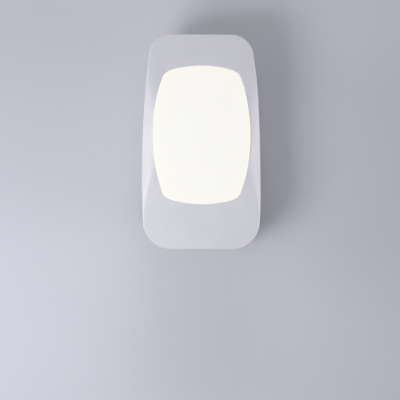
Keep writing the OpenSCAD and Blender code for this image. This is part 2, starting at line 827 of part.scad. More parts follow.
// A cap with bevelled ends in the wall's flat, a neck through its slot and a foot behind the wall.
module switch_knob() {
    bottom = fit - flat_recess;
    top = bottom + cap_height;
    end = cap_length / 2;
    color("gainsboro") difference() {
        union() {
            at_switch() translate([0, cap_width / 2, button_rest]) rotate([90, 0, 0])
                linear_extrude(cap_width) polygon([
                    [bottom, -end], [top - cap_bevel[1], -end], [top, cap_bevel[0] - end],
                    [top, end - cap_bevel[0]], [top - cap_bevel[1], end], [bottom, end]
                ]);
            switch_box(neck_size[0], neck_size[1], -bottom - fit, foot_back, button_rest);
            switch_box(foot_size[0], foot_size[1], foot_front, foot_back, button_rest);
        }
        switch_box(lever_size + 2 * fit, lever_size + 2 * fit, lever_tip - fit, foot_back + over,
            button_rest);
    }
}

// ---------- plug ----------

// A blade with a chamfered tip, shoulders behind the wall and a solder tab.
module blade(x, height) {
    half = height / 2;
    stop = half + shoulder_overhang;
    difference() {
        translate([x - blade_thickness / 2, 0, 0]) rotate([90, 0, 90]) linear_extrude(blade_thickness)
            polygon([
                [blade_length, blade_chamfer - half], [blade_length, half - blade_chamfer],
                [blade_length - blade_chamfer, half], [-inner_back, half], [-inner_back, stop],
                [-retainer_back, stop], [-retainer_back, tab_height / 2], [-tab_tip, tab_height / 2],
                [-tab_tip, -tab_height / 2], [-retainer_back, -tab_height / 2], [-retainer_back, -stop],
                [-inner_back, -stop], [-inner_back, -half], [blade_length - blade_chamfer, -half]
            ]);
        translate([x - blade_thickness, blade_hole_reach, 0]) rotate([0, 90, 0])
            cylinder(h = 2 * blade_thickness, r = blade_hole_radius);
    }
}

module line_blade() color("gold") blade(blade_spacing / 2, line_blade_height);
module neutral_blade() color("gold") blade(-blade_spacing / 2, neutral_blade_height);

// A plate over the blades' shoulders, cut back wherever a post of the rear shell comes close.
module blade_retainer() {
    color("lightgray") difference() {
        slab(retainer_back, retainer_front) rounded([retainer_width, retainer_height], plate_corner_radius);
        for (s = [-1, 1])
            block(s * blade_spacing / 2, 0, [blade_thickness + 2 * fit, tab_height + 2 * fit],
                retainer_back - over, retainer_front + over);
        for (x = retainer_screws_x)
            post(x, 0, retainer_back - over, retainer_front + over, small_screw_radius + free);
        for (p = housing_posts)
            post(p[0], p[1], retainer_back - over, retainer_front + over, rear_post_radius + free);
    }
}

module retainer_screws() {
    color("silver") for (x = retainer_screws_x)
        screw_back(x, 0, retainer_front, retainer_screw_length, small_screw_radius, small_head_radius);
}

module housing_screws() {
    color("silver") for (p = housing_posts)
        screw_forward(p[0], p[1], counterbore_seat, housing_screw_length, housing_screw_radius,
            housing_head_radius);
}

// ---------- wires ----------

function unit(v) = v / norm(v);
function across(n, t) = unit(n - (n * t) * t);

// Point at u, from 0 to 1, of the cubic curve with the four control points p.
function curve(p, u) = let (v = 1 - u)
    v * v * v * p[0] + 3 * v * v * u * p[1] + 3 * v * u * u * p[2] + u * u * u * p[3];

// A tube from one end to the other, both [x, depth, z], that leaves each end in its own direction.
module wire(start, start_way, end, end_way, sides = 8, steps = 10) {
    route = [start, start + wire_bow * start_way, end + wire_bow * end_way, end];
    points = [for (p = route) [p[0], -p[1], p[2]]];
    path = [for (i = [0:steps]) curve(points, i / steps)];
    tangents = concat(
        [unit(points[1] - points[0])],
        [for (i = [1:steps - 1]) unit(path[i + 1] - path[i - 1])],
        [unit(points[3] - points[2])]
    );
    first = across([0, 0, 1], tangents[0]);
    normals = [
        for (i = 0, n = first; i <= steps; i = i + 1, n = i <= steps ? across(n, tangents[i]) : n) n
    ];
    rings = [
        for (i = [0:steps]) for (j = [0:sides - 1]) let (a = 360 * j / sides)
            path[i] + wire_radius * (cos(a) * normals[i] + sin(a) * cross(tangents[i], normals[i]))
    ];
    walls = [
        for (i = [0:steps - 1]) for (j = [0:sides - 1]) let (k = (j + 1) % sides)
            [i * sides + k, i * sides + j, (i + 1) * sides + j, (i + 1) * sides + k]
    ];
    ends = [[for (j = [0:sides - 1]) j], [for (j = [sides - 1:-1:0]) steps * sides + j]];
    polyhedron(rings, concat(walls, ends));
}

// From the solder tab of the blade at x to its pad on the driver board.
module blade_lead(x)
    wire([x, tab_tip, 0], [0, 1, 0], [x, driver_front, driver_bottom + blade_pad_inset], [0, 1, 0]);

module line_lead() color("black") blade_lead(blade_spacing / 2);
module neutral_lead() color("white") blade_lead(-blade_spacing / 2);

// Point at the tip of lug i of the switch, given as [x, depth, z].
function lug_tip(i) = let (u = switch_back + lug_length, w = i * lug_pitch) [
    switch_x - u * cos(switch_slope) - w * sin(switch_slope),
    parting_depth,
    switch_height - u * sin(switch_slope) + w * cos(switch_slope)
];

// From the switch's lower and middle lugs to the right pair of pads.
module switch_leads() {
    inwards = -[cos(switch_slope), 0, sin(switch_slope)];
    color("red") for (i = [-1, 0]) let (x = pads_x - (2 * i + 1) * pad_pitch / 2)
        wire(lug_tip(i), inwards, [x, driver_front, driver_z + pads_z], [0, 1, 0]);
}

// From the left pair of pads to the back of the LED board.
module led_leads() {
    color("blue") for (s = [-1, 1]) let (x = -pads_x + s * pad_pitch / 2, z = driver_z + pads_z)
        wire([x, driver_front, z], [0, 1, 0], [x, led_board_back, z + led_wire_climb], [0, -1, 0]);
}

// ---------- assembly ----------

front_shell();
rear_shell();
diffuser_lens();
reflector_tray();
tray_screws();
led_board();
leds();
led_board_screws();
driver_board();
driver_board_screws();
film_capacitor();
electrolytic_capacitor();
bridge_rectifier();
fusible_resistor();
bleeder_resistor();
chip_resistors();
slide_switch_body();
switch_terminals();
slide_switch_lever();
switch_knob();
line_blade();
neutral_blade();
blade_retainer();
retainer_screws();
housing_screws();
line_lead();
neutral_lead();
switch_leads();
led_leads();
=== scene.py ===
import bmesh
import bpy
import numpy as np
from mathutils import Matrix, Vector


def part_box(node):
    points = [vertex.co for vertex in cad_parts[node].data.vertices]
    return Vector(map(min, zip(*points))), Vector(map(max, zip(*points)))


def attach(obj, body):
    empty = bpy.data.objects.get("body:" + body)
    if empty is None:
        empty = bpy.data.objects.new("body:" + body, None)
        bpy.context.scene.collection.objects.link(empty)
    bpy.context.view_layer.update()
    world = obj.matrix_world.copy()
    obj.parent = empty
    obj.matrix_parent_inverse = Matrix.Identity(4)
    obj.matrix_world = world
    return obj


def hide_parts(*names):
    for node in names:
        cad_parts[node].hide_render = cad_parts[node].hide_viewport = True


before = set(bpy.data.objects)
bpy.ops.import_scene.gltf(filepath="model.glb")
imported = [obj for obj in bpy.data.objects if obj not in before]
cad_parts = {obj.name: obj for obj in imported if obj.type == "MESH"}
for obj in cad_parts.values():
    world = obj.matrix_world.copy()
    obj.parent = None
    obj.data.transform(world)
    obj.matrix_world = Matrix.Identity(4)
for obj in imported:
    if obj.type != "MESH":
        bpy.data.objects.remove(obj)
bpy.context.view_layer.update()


# ---------- Front shell ----------
# The half of the housing that faces the room, moulded in matt white ABS. Its face is a long arch from
# end to end with a soft facet down each side, and the lens stands in its opening.

front_low, front_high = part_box("front_shell")
half_width = 1000 * front_high.x
bottom_z = 1000 * front_low.z
top_z = 1000 * front_high.z
middle_z = (bottom_z + top_z) / 2
parting_depth = -1000 * front_high.y

widest_z = bottom_z + 41.3
side_radius = 530
side_x = half_width - side_radius
top_corner_radius = 12
bottom_corner_radius = 15
wall = 2.2
tongue = 1.0
lap_gap = 0.1

rim_depth = 22
arch_rise = 5
arch_radius = ((top_z - middle_z) ** 2 + arch_rise ** 2) / (2 * arch_rise)
facet_z = middle_z + 0.3
facet_width = 5.9
facet_reach = 28
facet_slope = 0.9
facet_twist = 0.013
facet_softness = 0.35
facet_blend = 0.8
rim_round = 0.5
seam_round = 0.3
lip_round = 0.3

lens_low, lens_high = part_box("diffuser_lens")
lens_flange = 1.6
lens_half_width = 1000 * lens_high.x - lens_flange
lens_half_height = 500 * (lens_high.z - lens_low.z) - lens_flange
lens_z = 500 * (lens_high.z + lens_low.z)
lens_centre = np.array([0, lens_z])
lens_side_radius = 96
lens_end_radius = 60
lens_corner_radius = 7
lens_gap = 0.12
around = 360
crowding = 1.3


def arc(centre, radius, start, end, steps=40):
    """Points at equal angles on a circle, from start to end in degrees."""
    angle = np.radians(np.linspace(start, end, steps))
    return np.asarray(centre) + radius * np.stack([np.cos(angle), np.sin(angle)], -1)


def bearing(start, end):
    """Angle in degrees of the line from one point to another."""
    across, up = np.asarray(end) - np.asarray(start)
    return np.degrees(np.arctan2(up, across))


def corner_centre(radius, z):
    """Centre of a round corner at a height. It lies side_radius minus the corner's own radius from the
    side arc's centre, so that the corner is tangent to the side."""
    return np.array([side_x + np.sqrt((side_radius - radius) ** 2 - (z - widest_z) ** 2), z])


top_corner = corner_centre(top_corner_radius, top_z - top_corner_radius)
bottom_corner = corner_centre(bottom_corner_radius, bottom_z + bottom_corner_radius)


def housing_outline():
    """Right half: a long side arc with a round corner at both ends. The left half mirrors it."""
    side = np.array([side_x, widest_z])
    low, high = bearing(side, bottom_corner), bearing(side, top_corner)
    right = np.vstack([
        arc(bottom_corner, bottom_corner_radius, -90, low),
        arc(side, side_radius, low, high),
        arc(top_corner, top_corner_radius, high, 90),
    ])
    return np.vstack([right, right[::-1] * [-1, 1]])


def lens_outline():
    """Four bowed edges and four round corners. A corner's centre is where two circles cross: each is
    an edge's own circle, made smaller by the corner's radius, so the corner touches both edges."""
    side = np.array([lens_half_width - lens_side_radius, 0])
    end = np.array([0, lens_half_height - lens_end_radius])
    side_reach = lens_side_radius - lens_corner_radius
    end_reach = lens_end_radius - lens_corner_radius
    apart = np.linalg.norm(end - side)
    along = (side_reach ** 2 - end_reach ** 2 + apart ** 2) / (2 * apart)
    across = np.sqrt(side_reach ** 2 - along ** 2)
    toward = (end - side) / apart
    corner = side + along * toward + across * np.array([-toward[1], toward[0]])
    low, high = bearing(side, corner), bearing(end, corner)
    quarter = np.vstack([
        arc(side, lens_side_radius, 0, low),
        arc(corner, lens_corner_radius, low, high),
        arc(end, lens_end_radius, high, 90),
    ])
    upper = np.vstack([quarter, quarter[-2::-1] * [-1, 1]])
    return lens_centre + np.vstack([upper, upper[-2:0:-1] * [1, -1]])


def evenly(outline, count):
    """The closed outline as count points at equal distances along it."""
    closed = np.vstack([outline, outline[:1]])
    steps = np.linalg.norm(np.diff(closed, axis=0), axis=1)
    run = np.concatenate([[0], np.cumsum(steps)])
    at = np.linspace(0, run[-1], count, endpoint=False)
    return np.stack([np.interp(at, run, closed[:, 0]), np.interp(at, run, closed[:, 1])], -1)


def on_rays(outline, angles):
    """Where rays from the lens's centre, at these angles, cross a closed outline, and the outline's
    inward normal at each crossing: the direction along the outline, turned left by 90 degrees."""
    fine = evenly(outline, 6000)
    ahead = np.roll(fine, -1, 0) - np.roll(fine, 1, 0)
    inward = np.stack([-ahead[:, 1], ahead[:, 0]], -1)
    out = fine - lens_centre
    turn = np.arctan2(out[:, 1], out[:, 0])

    def at_angles(values):
        """Values along the outline, read off where the rays cross it."""
        return np.interp(angles, turn, values, period=2 * np.pi)

    reach = at_angles(np.linalg.norm(out, axis=1))
    points = lens_centre + reach[:, None] * np.stack([np.cos(angles), np.sin(angles)], -1)
    normal = np.stack([at_angles(inward[:, 0]), at_angles(inward[:, 1])], -1)
    return points, normal / np.linalg.norm(normal, axis=1)[:, None]


def face_depth(points):
    """Depth of the front's face: a long arch, a cylinder about an axis along X, from which a facet
    falls away down each side. The facet's width is a flat-topped bell curve along Z, exp(-u cubed),
    so that it runs out towards both ends, and its slope lessens upwards. Each fall joins the arch
    softly, as s log of one plus exp(fall / s), for a softness s that grows with the width."""
    x, z = points[..., 0], points[..., 1]
    arch = rim_depth + arch_rise - arch_radius + np.sqrt(arch_radius ** 2 - (z - middle_z) ** 2)
    bell = np.exp(-np.abs((z - facet_z) / facet_reach) ** 3)
    slope = facet_slope - facet_twist * (z - facet_z)
    softness = facet_softness + facet_blend * bell
    for side in (side_x, -side_x):
        inset = side_radius - np.hypot(x - side, z - widest_z)
        fall = slope * (facet_width * bell - inset)
        arch = arch - softness * np.log1p(np.exp(fall / softness))
    return arch


def ring(outline, depth):
    """An outline in X and Z as points [x, depth, z], with one depth or a depth for each point."""
    return np.stack([outline[:, 0], np.broadcast_to(depth, len(outline)), outline[:, 1]], -1)


def quarter_round(radius, steps):
    """Pairs of how far in and how far down a round edge lies from its sharp corner, which go from
    (radius, 0) to (0, radius)."""
    angle = np.radians(np.linspace(0, 90, steps))
    return list(zip(radius * (1 - np.sin(angle)), radius * (1 - np.cos(angle))))


def to_mesh(name, points, faces):
    """A new object from points [x, depth, z] in millimetres, and from faces as lists of the numbers
    of their points."""
    mesh = bpy.data.meshes.new(name)
    mesh.from_pydata((points * [0.001, -0.001, 0.001]).tolist(), [], faces)
    mesh.update()
    piece = bpy.data.objects.new(name, mesh)
    bpy.context.scene.collection.objects.link(piece)
    return piece


def closed_surface(name, rings, loop=False):
    """A closed mesh through a stack of rings with as many points each. Point j of a ring joins point
    j + 1, and both join the next ring. With loop the last ring joins the first, and otherwise a fan
    about its own middle closes each of the two."""
    rings = np.asarray(rings, float)
    count, size = rings.shape[:2]
    points = rings.reshape(-1, 3)
    row, column = np.meshgrid(np.arange(count if loop else count - 1), np.arange(size), indexing="ij")
    after, beside = (row + 1) % count, (column + 1) % size
    quads = np.stack([row * size + column, row * size + beside, after * size + beside,
                      after * size + column], -1).reshape(-1, 4)
    faces = quads.tolist()
    if not loop:
        first, last = len(points), len(points) + 1
        column, beside = column[0], beside[0]
        top = (count - 1) * size
        faces += np.stack([np.full(size, first), beside, column], -1).tolist()
        faces += np.stack([top + column, top + beside, np.full(size, last)], -1).tolist()
        points = np.vstack([points, rings[0].mean(0), rings[-1].mean(0)])
    return to_mesh(name, points, faces)


def smooth_shading(piece, angle=32):
    """Shades a piece smooth, apart from the edges where its faces meet at more than an angle."""
    piece.data.shade_smooth()
    piece.data.set_sharp_from_angle(angle=np.radians(angle))


def boolean(piece, tool, operation):
    """Joins a closed tool to a piece or cuts it away from it, keeps the result as the piece's mesh and
    drops the tool."""
    step = piece.modifiers.new(operation.lower(), "BOOLEAN")
    step.operation = operation
    step.solver = "EXACT"
    step.object = tool
    made = piece.evaluated_get(bpy.context.evaluated_depsgraph_get())
    mesh = bpy.data.meshes.new_from_object(made)
    piece.modifiers.clear()
    piece.data = mesh
    bpy.data.objects.remove(tool)


lens_edge = evenly(lens_outline(), around)
ray_angles = np.arctan2(*(lens_edge - lens_centre).T[::-1])
housing_edge, housing_inward = on_rays(housing_outline(), ray_angles)
lens_inward = on_rays(lens_outline(), ray_angles)[1]


def inset_housing(distance):
    """The housing's outline, moved inwards."""
    return housing_edge + distance * housing_inward


def inset_lens(distance):
    """The lens's outline, moved inwards."""
    return lens_edge + distance * lens_inward


def face_rings(start, end, steps, lower=0.0):
    """Rings on the face, or lower below it, from one outline to another, closer together near the
    first, where the facets bend."""
    rings = []
    for share in np.linspace(0, 1, steps)[1:] ** crowding:
        outline = (1 - share) * start + share * end
        rings.append(ring(outline, face_depth(outline) - lower))
    return rings


def side_rings(start, end, steps):
    """Rings straight along the side wall, from one depth to another."""
    shares = np.linspace(0, 1, steps)[1:]
    return [ring(housing_edge, (1 - share) * start + share * end) for share in shares]


def front_rings():
    """The wall's section, carried round the housing: its rabbet and seam, the side, the rim, the face,
    the opening's lip and wall, and back along the inside."""
    lap = parting_depth + tongue + lap_gap
    lap_edge = inset_housing(wall - tongue - lap_gap)
    rings = [ring(inset_housing(wall), lap), ring(lap_edge, lap), ring(lap_edge, parting_depth)]
    for inset, drop in quarter_round(seam_round, 4):
        rings.append(ring(inset_housing(inset), parting_depth + drop))
    rings += side_rings(parting_depth + seam_round, face_depth(housing_edge) - rim_round, 7)
    for inset, drop in quarter_round(rim_round, 7)[-2::-1]:
        outline = inset_housing(inset)
        rings.append(ring(outline, face_depth(outline) - drop))
    rings += face_rings(inset_housing(rim_round), inset_lens(-lens_gap - lip_round), 36)
    for inset, drop in quarter_round(lip_round, 5)[1:]:
        outline = inset_lens(-lens_gap - inset)
        rings.append(ring(outline, face_depth(outline) - drop))
    opening = inset_lens(-lens_gap)
    rings.append(ring(opening, face_depth(opening) - wall))
    return rings + face_rings(opening, inset_housing(wall), 14, lower=wall)


switch_height = 73
switch_travel = 3
switch_slope = np.arcsin((switch_height - widest_z) / side_radius)
switch_x = half_width - side_radius * (1 - np.cos(switch_slope))
flat_recess = 0.3
flat_length, flat_width, flat_corner = 20.6, 7.4, 0.8
slot_length, slot_width, slot_corner = 8.4, 3.2, 0.4
clear_outside = 2


def rounded_box(length, width, radius, count=64):
    """The closed outline of a rectangle with round corners, along its length and then its width."""
    x, z = length / 2 - radius, width / 2 - radius
    corners = [([x, -z], -90), ([x, z], 0), ([-x, z], 90), ([-x, -z], 180)]
    return evenly(np.vstack([arc(at, radius, turn, turn + 90, 9) for at, turn in corners]), count)


def at_switch(points):
    """Turns points [outwards, along Y, up the side] at the switch into [x, depth, z]: the side wall
    leans by switch_slope there, and the switch is centred on the seam."""
    out, y, up = points[..., 0], points[..., 1], points[..., 2]
    x = switch_x + out * np.cos(switch_slope) - up * np.sin(switch_slope)
    z = switch_height + out * np.sin(switch_slope) + up * np.cos(switch_slope)
    return np.stack([x, parting_depth - y, z], -1)


def switch_block(name, length, width, radius, inner, outer, lift=0):
    """A closed block across the side wall at the switch: a rounded rectangle, lifted up the side,
    between two distances outside the wall."""
    outline = rounded_box(width, length, radius) + [0, lift]
    layers = [np.insert(outline, 0, out, axis=1) for out in (inner, outer)]
    return closed_surface(name, at_switch(np.array(layers)))


def cut_switch_openings(piece):
    """Cuts the flat in which the button's cap runs, and the slot for its neck."""
    flat = switch_block("flat_cut", flat_length, flat_width, flat_corner, -flat_recess, clear_outside)
    boolean(piece, flat, "DIFFERENCE")
    slot = switch_block("slot_cut", slot_length, slot_width, slot_corner, -2 * wall, clear_outside)
    boolean(piece, slot, "DIFFERENCE")


front_moulding = closed_surface("front_moulding", front_rings(), loop=True)
cut_switch_openings(front_moulding)
smooth_shading(front_moulding)


def linear(red, green, blue):
    """A colour given as 0 to 255 on a screen, in the linear values that a shader takes."""
    share = np.array([red, green, blue]) / 255
    low = share / 12.92
    high = ((share + 0.055) / 1.055) ** 2.4
    return (*np.where(share <= 0.04045, low, high).tolist(), 1.0)


class Finish:
    """A material under way: its shader, with the plain sockets set, and the nodes that vary it. All
    patterns lie on Object coordinates, and a size is the width of one cell in millimetres."""

    def __init__(self, name, **sockets):
        self.material = bpy.data.materials.new(name)
        self.material.use_nodes = True
        self.nodes = self.material.node_tree.nodes
        self.links = self.material.node_tree.links
        self.shader = self.nodes["Principled BSDF"]
        for socket, value in sockets.items():
            self.shader.inputs[socket.replace("_", " ")].default_value = value
        self.coordinates = self.nodes.new("ShaderNodeTexCoord").outputs["Object"]

    def node(self, kind, settings=(), **links):
        """Adds a node, sets its properties, and feeds its inputs, each given by its name or as i and
        its number, with outputs or values."""
        node = self.nodes.new("ShaderNode" + kind)
        for key, value in dict(settings).items():
            setattr(node, key, value)
        for key, value in links.items():
            numbered = key[0] == "i" and key[1:].isdigit()
            socket = node.inputs[int(key[1:]) if numbered else key]
            if isinstance(value, bpy.types.NodeSocket):
                self.links.new(value, socket)
            else:
                socket.default_value = value
        return node

    def noise(self, size, detail=2.0, stretch=(1, 1, 1)):
        """Noise with cells of one size, drawn out along the axes where stretch is above 1."""
        drawn = self.node("Mapping", Vector=self.coordinates, Scale=[1 / s for s in stretch]).outputs[0]
        return self.node("TexNoise", Vector=drawn, Scale=1000 / size, Detail=detail).outputs[0]

    def between(self, factor, low, high, start=0.0, end=1.0):
        """A number that runs from low to high as factor runs from start to end."""
        return self.node("MapRange", i0=factor, i1=start, i2=end, i3=low, i4=high).outputs[0]

    def mix(self, factor, dark, light):
        """A colour from dark to light by factor."""
        return self.node("Mix", {"data_type": "RGBA"}, i0=factor, i6=dark, i7=light).outputs[2]

    def colour(self, value):
        """The shader's colour, from a node."""
        self.links.new(value, self.shader.inputs["Base Color"])

    def roughness(self, value):
        """The shader's roughness, from a node."""
        self.links.new(value, self.shader.inputs["Roughness"])

    def relief(self, height, depth):
        """Bumps of a depth in millimetres."""
        bump = self.node("Bump", Height=height, Distance=depth / 1000, Strength=1.0)
        self.links.new(bump.outputs[0], self.shader.inputs["Normal"])


def moulded(name, colour, roughness=0.5, grain=0.35, relief=0.006):
    """Moulded plastic with a fine spark-eroded grain: faint cloudy shade from the flow of the melt,
    and a grain that roughens it and stands up from it a little."""
    finish = Finish(name, IOR=1.5)
    shade = np.array(linear(*colour))
    flow = finish.between(finish.noise(18, 3), 0, 1, 0.35, 0.65)
    finish.colour(finish.mix(flow, tuple(shade * [0.965, 0.965, 0.97, 1]), tuple(shade)))
    texture = finish.noise(grain, 3)
    finish.roughness(finish.between(texture, roughness - 0.08, roughness + 0.08, 0.3, 0.7))
    finish.relief(texture, relief)
    return finish.material


housing_white = moulded("housing_white", (226, 226, 229), roughness=0.52)
front_moulding.data.materials.append(housing_white)
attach(front_moulding, "housing")
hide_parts("front_shell")


# ---------- Diffuser lens ----------
# A domed cover of opal polycarbonate, 1.8 mm thick, that glows evenly, apart from a band along its rim
# where the glow is painted a little warmer and brighter. Its flange lies behind the face, where the light
# tray clamps it.

lens_wall = 1.8
flange_thickness = 1.4
flange_gap = 0.1
dome_radius = 185
dome_z = (lens_z + middle_z) / 2
crown_depth = -1000 * lens_low.y
lens_round = 0.7
# Width of the band along the lens's edge where its glow is painted warmer and brighter.
painted_rim_glow_band = 8


def dome_depth(points):
    """Depth of the dome: a sphere with its crown at crown_depth."""
    x, z = points[..., 0], points[..., 1]
    return crown_depth - dome_radius + np.sqrt(dome_radius ** 2 - x ** 2 - (z - dome_z) ** 2)


def toward_centre(outline, share):
    """The outline, drawn in towards the lens's centre."""
    return lens_centre + (1 - share) * (outline - lens_centre)


def lens_rings():
    """From the middle of its inside outwards, round the flange, forwards up its edge and over the
    dome to the crown."""
    inside = inset_lens(lens_wall)
    under = face_depth(lens_edge) - wall - flange_gap
    rings = []
    for share in np.linspace(0.97, 0, 12):
        outline = toward_centre(inside, share)
        rings.append(ring(outline, dome_depth(outline) - lens_wall))
    rings.append(ring(inside, under - flange_thickness))
    rings.append(ring(inset_lens(-lens_flange), under - flange_thickness))
    rings.append(ring(inset_lens(-lens_flange), under))
    rings.append(ring(lens_edge, under))
    for inset, drop in quarter_round(lens_round, 7)[::-1]:
        outline = inset_lens(inset)
        rings.append(ring(outline, dome_depth(outline) - drop))
    for share in np.linspace(0, 0.98, 26)[1:]:
        outline = toward_centre(inset_lens(lens_round), share)
        rings.append(ring(outline, dome_depth(outline)))
    return rings


def opal():
    """Opal plastic lit from behind: white light, painted a little warmer and brighter in a band along its
    rim, where the wall is seen edge on, with a faint cloudiness and a fine satin grain."""
    finish = Finish("opal_lens", Base_Color=linear(110, 109, 106), Specular_IOR_Level=0.25,
                    Emission_Strength=0.855)
    rim = finish.node("Attribute", {"attribute_name": "rim"}).outputs["Fac"]
    cloud = finish.between(finish.noise(9, 2), 0, 1, 0.3, 0.7)
    face = finish.mix(cloud, linear(247, 246, 240), linear(249, 248, 244))
    # The glow is painted warmer and brighter towards the rim.
    glow = finish.mix(rim, face, linear(251, 248, 239))
    finish.links.new(glow, finish.shader.inputs["Emission Color"])
    grain = finish.noise(0.25, 2)
    finish.roughness(finish.between(grain, 0.5, 0.6, 0.3, 0.7))
    finish.relief(grain, 0.002)
    return finish.material


opal_lens = closed_surface("opal_lens", lens_rings())
smooth_shading(opal_lens, 40)

# The attribute rim, which paints the glow warmer and brighter near the lens's edge, runs from 1 at the
# edge to 0 where the painted band ends: one minus the distance from the edge, along the ray from the
# lens's centre, over the band's width.
places = np.empty(3 * len(opal_lens.data.vertices), np.float32)
opal_lens.data.vertices.foreach_get("co", places)
from_centre = 1000 * places.astype(float).reshape(-1, 3)[:, [0, 2]] - lens_centre
edge_reach = np.interp(np.arctan2(*from_centre.T[::-1]), ray_angles,
                       np.linalg.norm(lens_edge - lens_centre, axis=1), period=2 * np.pi)
from_edge = edge_reach - np.linalg.norm(from_centre, axis=1)
rim = opal_lens.data.attributes.new("rim", "FLOAT", "POINT")
rim.data.foreach_set("value", np.clip(1 - from_edge / painted_rim_glow_band, 0, 1).astype(np.float32))

opal_lens.data.materials.append(opal())
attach(opal_lens, "housing")
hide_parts("diffuser_lens")


# ---------- Rear shell ----------
# The half that plugs in, moulded in the same ABS. A raised boss around the blades lies on the outlet,
# two round pads keep the top parallel to the wall, four deep counterbores take the screws, and a
# shallow sunken panel is left plain.

back_depth = 1.5
inner_back = back_depth + wall
back_round = 2.0
boss_width, boss_height, boss_corner = 30, 20, 4
pad_radius = 3
pad_drop = 2
raised_round = 0.35
panel_width, panel_height, panel_corner = 34, 22, 2
panel_z, panel_sink = 43, 0.3
root_gap = 0.5
behind_back = -1
counterbore_seat = 5
counterbore_radius = 2.5
counterbore_mouth = 0.25
post_radius = 3.9
post_start = back_depth + 0.6
blade_offset = 6.35
blade_slots = {blade_offset: 6.55, -blade_offset: 8.1}
slot_thickness, blade_slot_corner = 1.7, 0.2
top_screw_out, top_screw_down = 2.5, 8.8
bottom_screw_out, bottom_screw_up = 3.2, 9.9

screw_places = [(s * (top_corner[0] + top_screw_out), top_z - top_screw_down) for s in (-1, 1)]
screw_places += [(s * (bottom_corner[0] + bottom_screw_out), bottom_z + bottom_screw_up) for s in (-1, 1)]


def rear_rings():
    """From the middle of the back outwards, round its edge, forwards to the seam, over the tongue
    and back down the inside to the middle of the floor."""
    rings = []
    for share in np.linspace(0.97, 0, 8):
        rings.append(ring(toward_centre(inset_housing(back_round), share), back_depth))
    for inset, drop in quarter_round(back_round, 9)[1:]:
        rings.append(ring(inset_housing(inset), back_depth + drop))
    rings += side_rings(back_depth + back_round, parting_depth - seam_round, 5)
    for inset, drop in quarter_round(seam_round, 4)[-2::-1]:
        rings.append(ring(inset_housing(inset), parting_depth - drop))
    tongue_edge, inside = inset_housing(wall - tongue), inset_housing(wall)
    rings += [ring(tongue_edge, parting_depth), ring(tongue_edge, parting_depth + tongue),
              ring(inside, parting_depth + tongue)]
    for share in np.linspace(0, 0.97, 8):
        rings.append(ring(toward_centre(inside, share), inner_back))
    return rings


def block(name, outline, from_depth, to_depth, edge=0.0, mouth=0.0):
    """A closed block between two depths: its rear edge is rounded by edge, or flares by mouth just
    outside the back, so that a hole cut with it has a small chamfer."""
    middle = outline.mean(0)
    away = outline - middle
    unit = away / np.linalg.norm(away, axis=1)[:, None]
    if edge:
        bends = quarter_round(edge, 5)
        rings = [ring(outline - inset * unit, from_depth + drop) for inset, drop in bends]
    elif mouth:
        flare = outline + mouth * unit
        rings = [ring(flare, from_depth), ring(flare, back_depth), ring(outline, back_depth + mouth)]
    else:
        rings = [ring(outline, from_depth)]
    return closed_surface(name, rings + [ring(outline, to_depth)])


def circle(x, z, radius):
    """Points at equal angles on a whole circle."""
    return arc((x, z), radius, 0, 360, 65)[:-1]


rear_moulding = closed_surface("rear_moulding", rear_rings())
for x, z in screw_places:
    post = circle(x, z, post_radius)
    boolean(rear_moulding, block("post", post, post_start, parting_depth), "UNION")
boss = rounded_box(boss_width, boss_height, boss_corner, 96)
boolean(rear_moulding, block("boss", boss, 0, inner_back - root_gap, edge=raised_round), "UNION")
for side in (-1, 1):
    pad = circle(side * top_corner[0], lens_z + lens_half_height - pad_drop, pad_radius)
    boolean(rear_moulding, block("pad", pad, 0, inner_back - root_gap, edge=raised_round), "UNION")
for x, z in screw_places:
    hole = circle(x, z, counterbore_radius)
    bore = block("counterbore", hole, behind_back, counterbore_seat, mouth=counterbore_mouth)
    boolean(rear_moulding, bore, "DIFFERENCE")
for x, height in blade_slots.items():
    slot = rounded_box(slot_thickness, height, blade_slot_corner) + [x, 0]
    boolean(rear_moulding, block("blade_slot", slot, behind_back, inner_back + 1), "DIFFERENCE")
panel = rounded_box(panel_width, panel_height, panel_corner, 96) + [0, panel_z]
boolean(rear_moulding, block("panel_cut", panel, behind_back, back_depth + panel_sink), "DIFFERENCE")
cut_switch_openings(rear_moulding)
smooth_shading(rear_moulding)
housing_back = moulded("housing_back", (222, 222, 226), roughness=0.55)
rear_moulding.data.materials.append(housing_back)
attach(rear_moulding, "housing")
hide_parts("rear_shell")


# ---------- Side button ----------
# A small moulded cap with fine grip ribs, which slides 3 mm down the flat in the side wall. Its neck
# passes through the slot and its foot holds it from behind.

cap_length, cap_width, cap_height = 17, 7, 1.3
cap_gap = 0.1
cap_bottom = cap_gap - flat_recess
cap_top = cap_bottom + cap_height
cap_lift = switch_travel / 2
bevel_length, bevel_drop = 1.35, 0.75
end_turn = 0.8
cap_round = 0.45
rib_pitch = 1.5
rib_depth = 0.22
ribbed_length = 10.5
neck_length, neck_width = 5, 3
foot_length, foot_width, foot_thickness = 5, 5, 0.7
foot_gap = 0.1
stem_corner = 0.3
into_foot, into_cap = 0.3, 0.2


def cap_section(up):
    """The cap's closed section at one place along it, from the middle of its underside round over its
    top: round corners, ends that slope down and turn in, and ribs as raised half waves."""
    past = np.clip(abs(up) - (cap_length / 2 - bevel_length), 0, bevel_length) / bevel_length
    half = cap_width / 2 - end_turn * (1 - np.sqrt(1 - (0.95 * past) ** 2))
    rib = rib_depth * (1 - np.abs(np.cos(np.pi * up / rib_pitch))) * (abs(up) < ribbed_length / 2)
    top = cap_top - bevel_drop * past ** 2 - rib
    radius = min(cap_round, (top - cap_bottom) * 0.8)
    left = arc((-half + radius, top - radius), radius, 180, 90, 7)
    right = arc((half - radius, top - radius), radius, 90, 0, 7)
    middle = np.linspace(left[-1], right[0], 8)[1:-1]
    return np.vstack([[-half, cap_bottom], left, middle, right, [half, cap_bottom]])


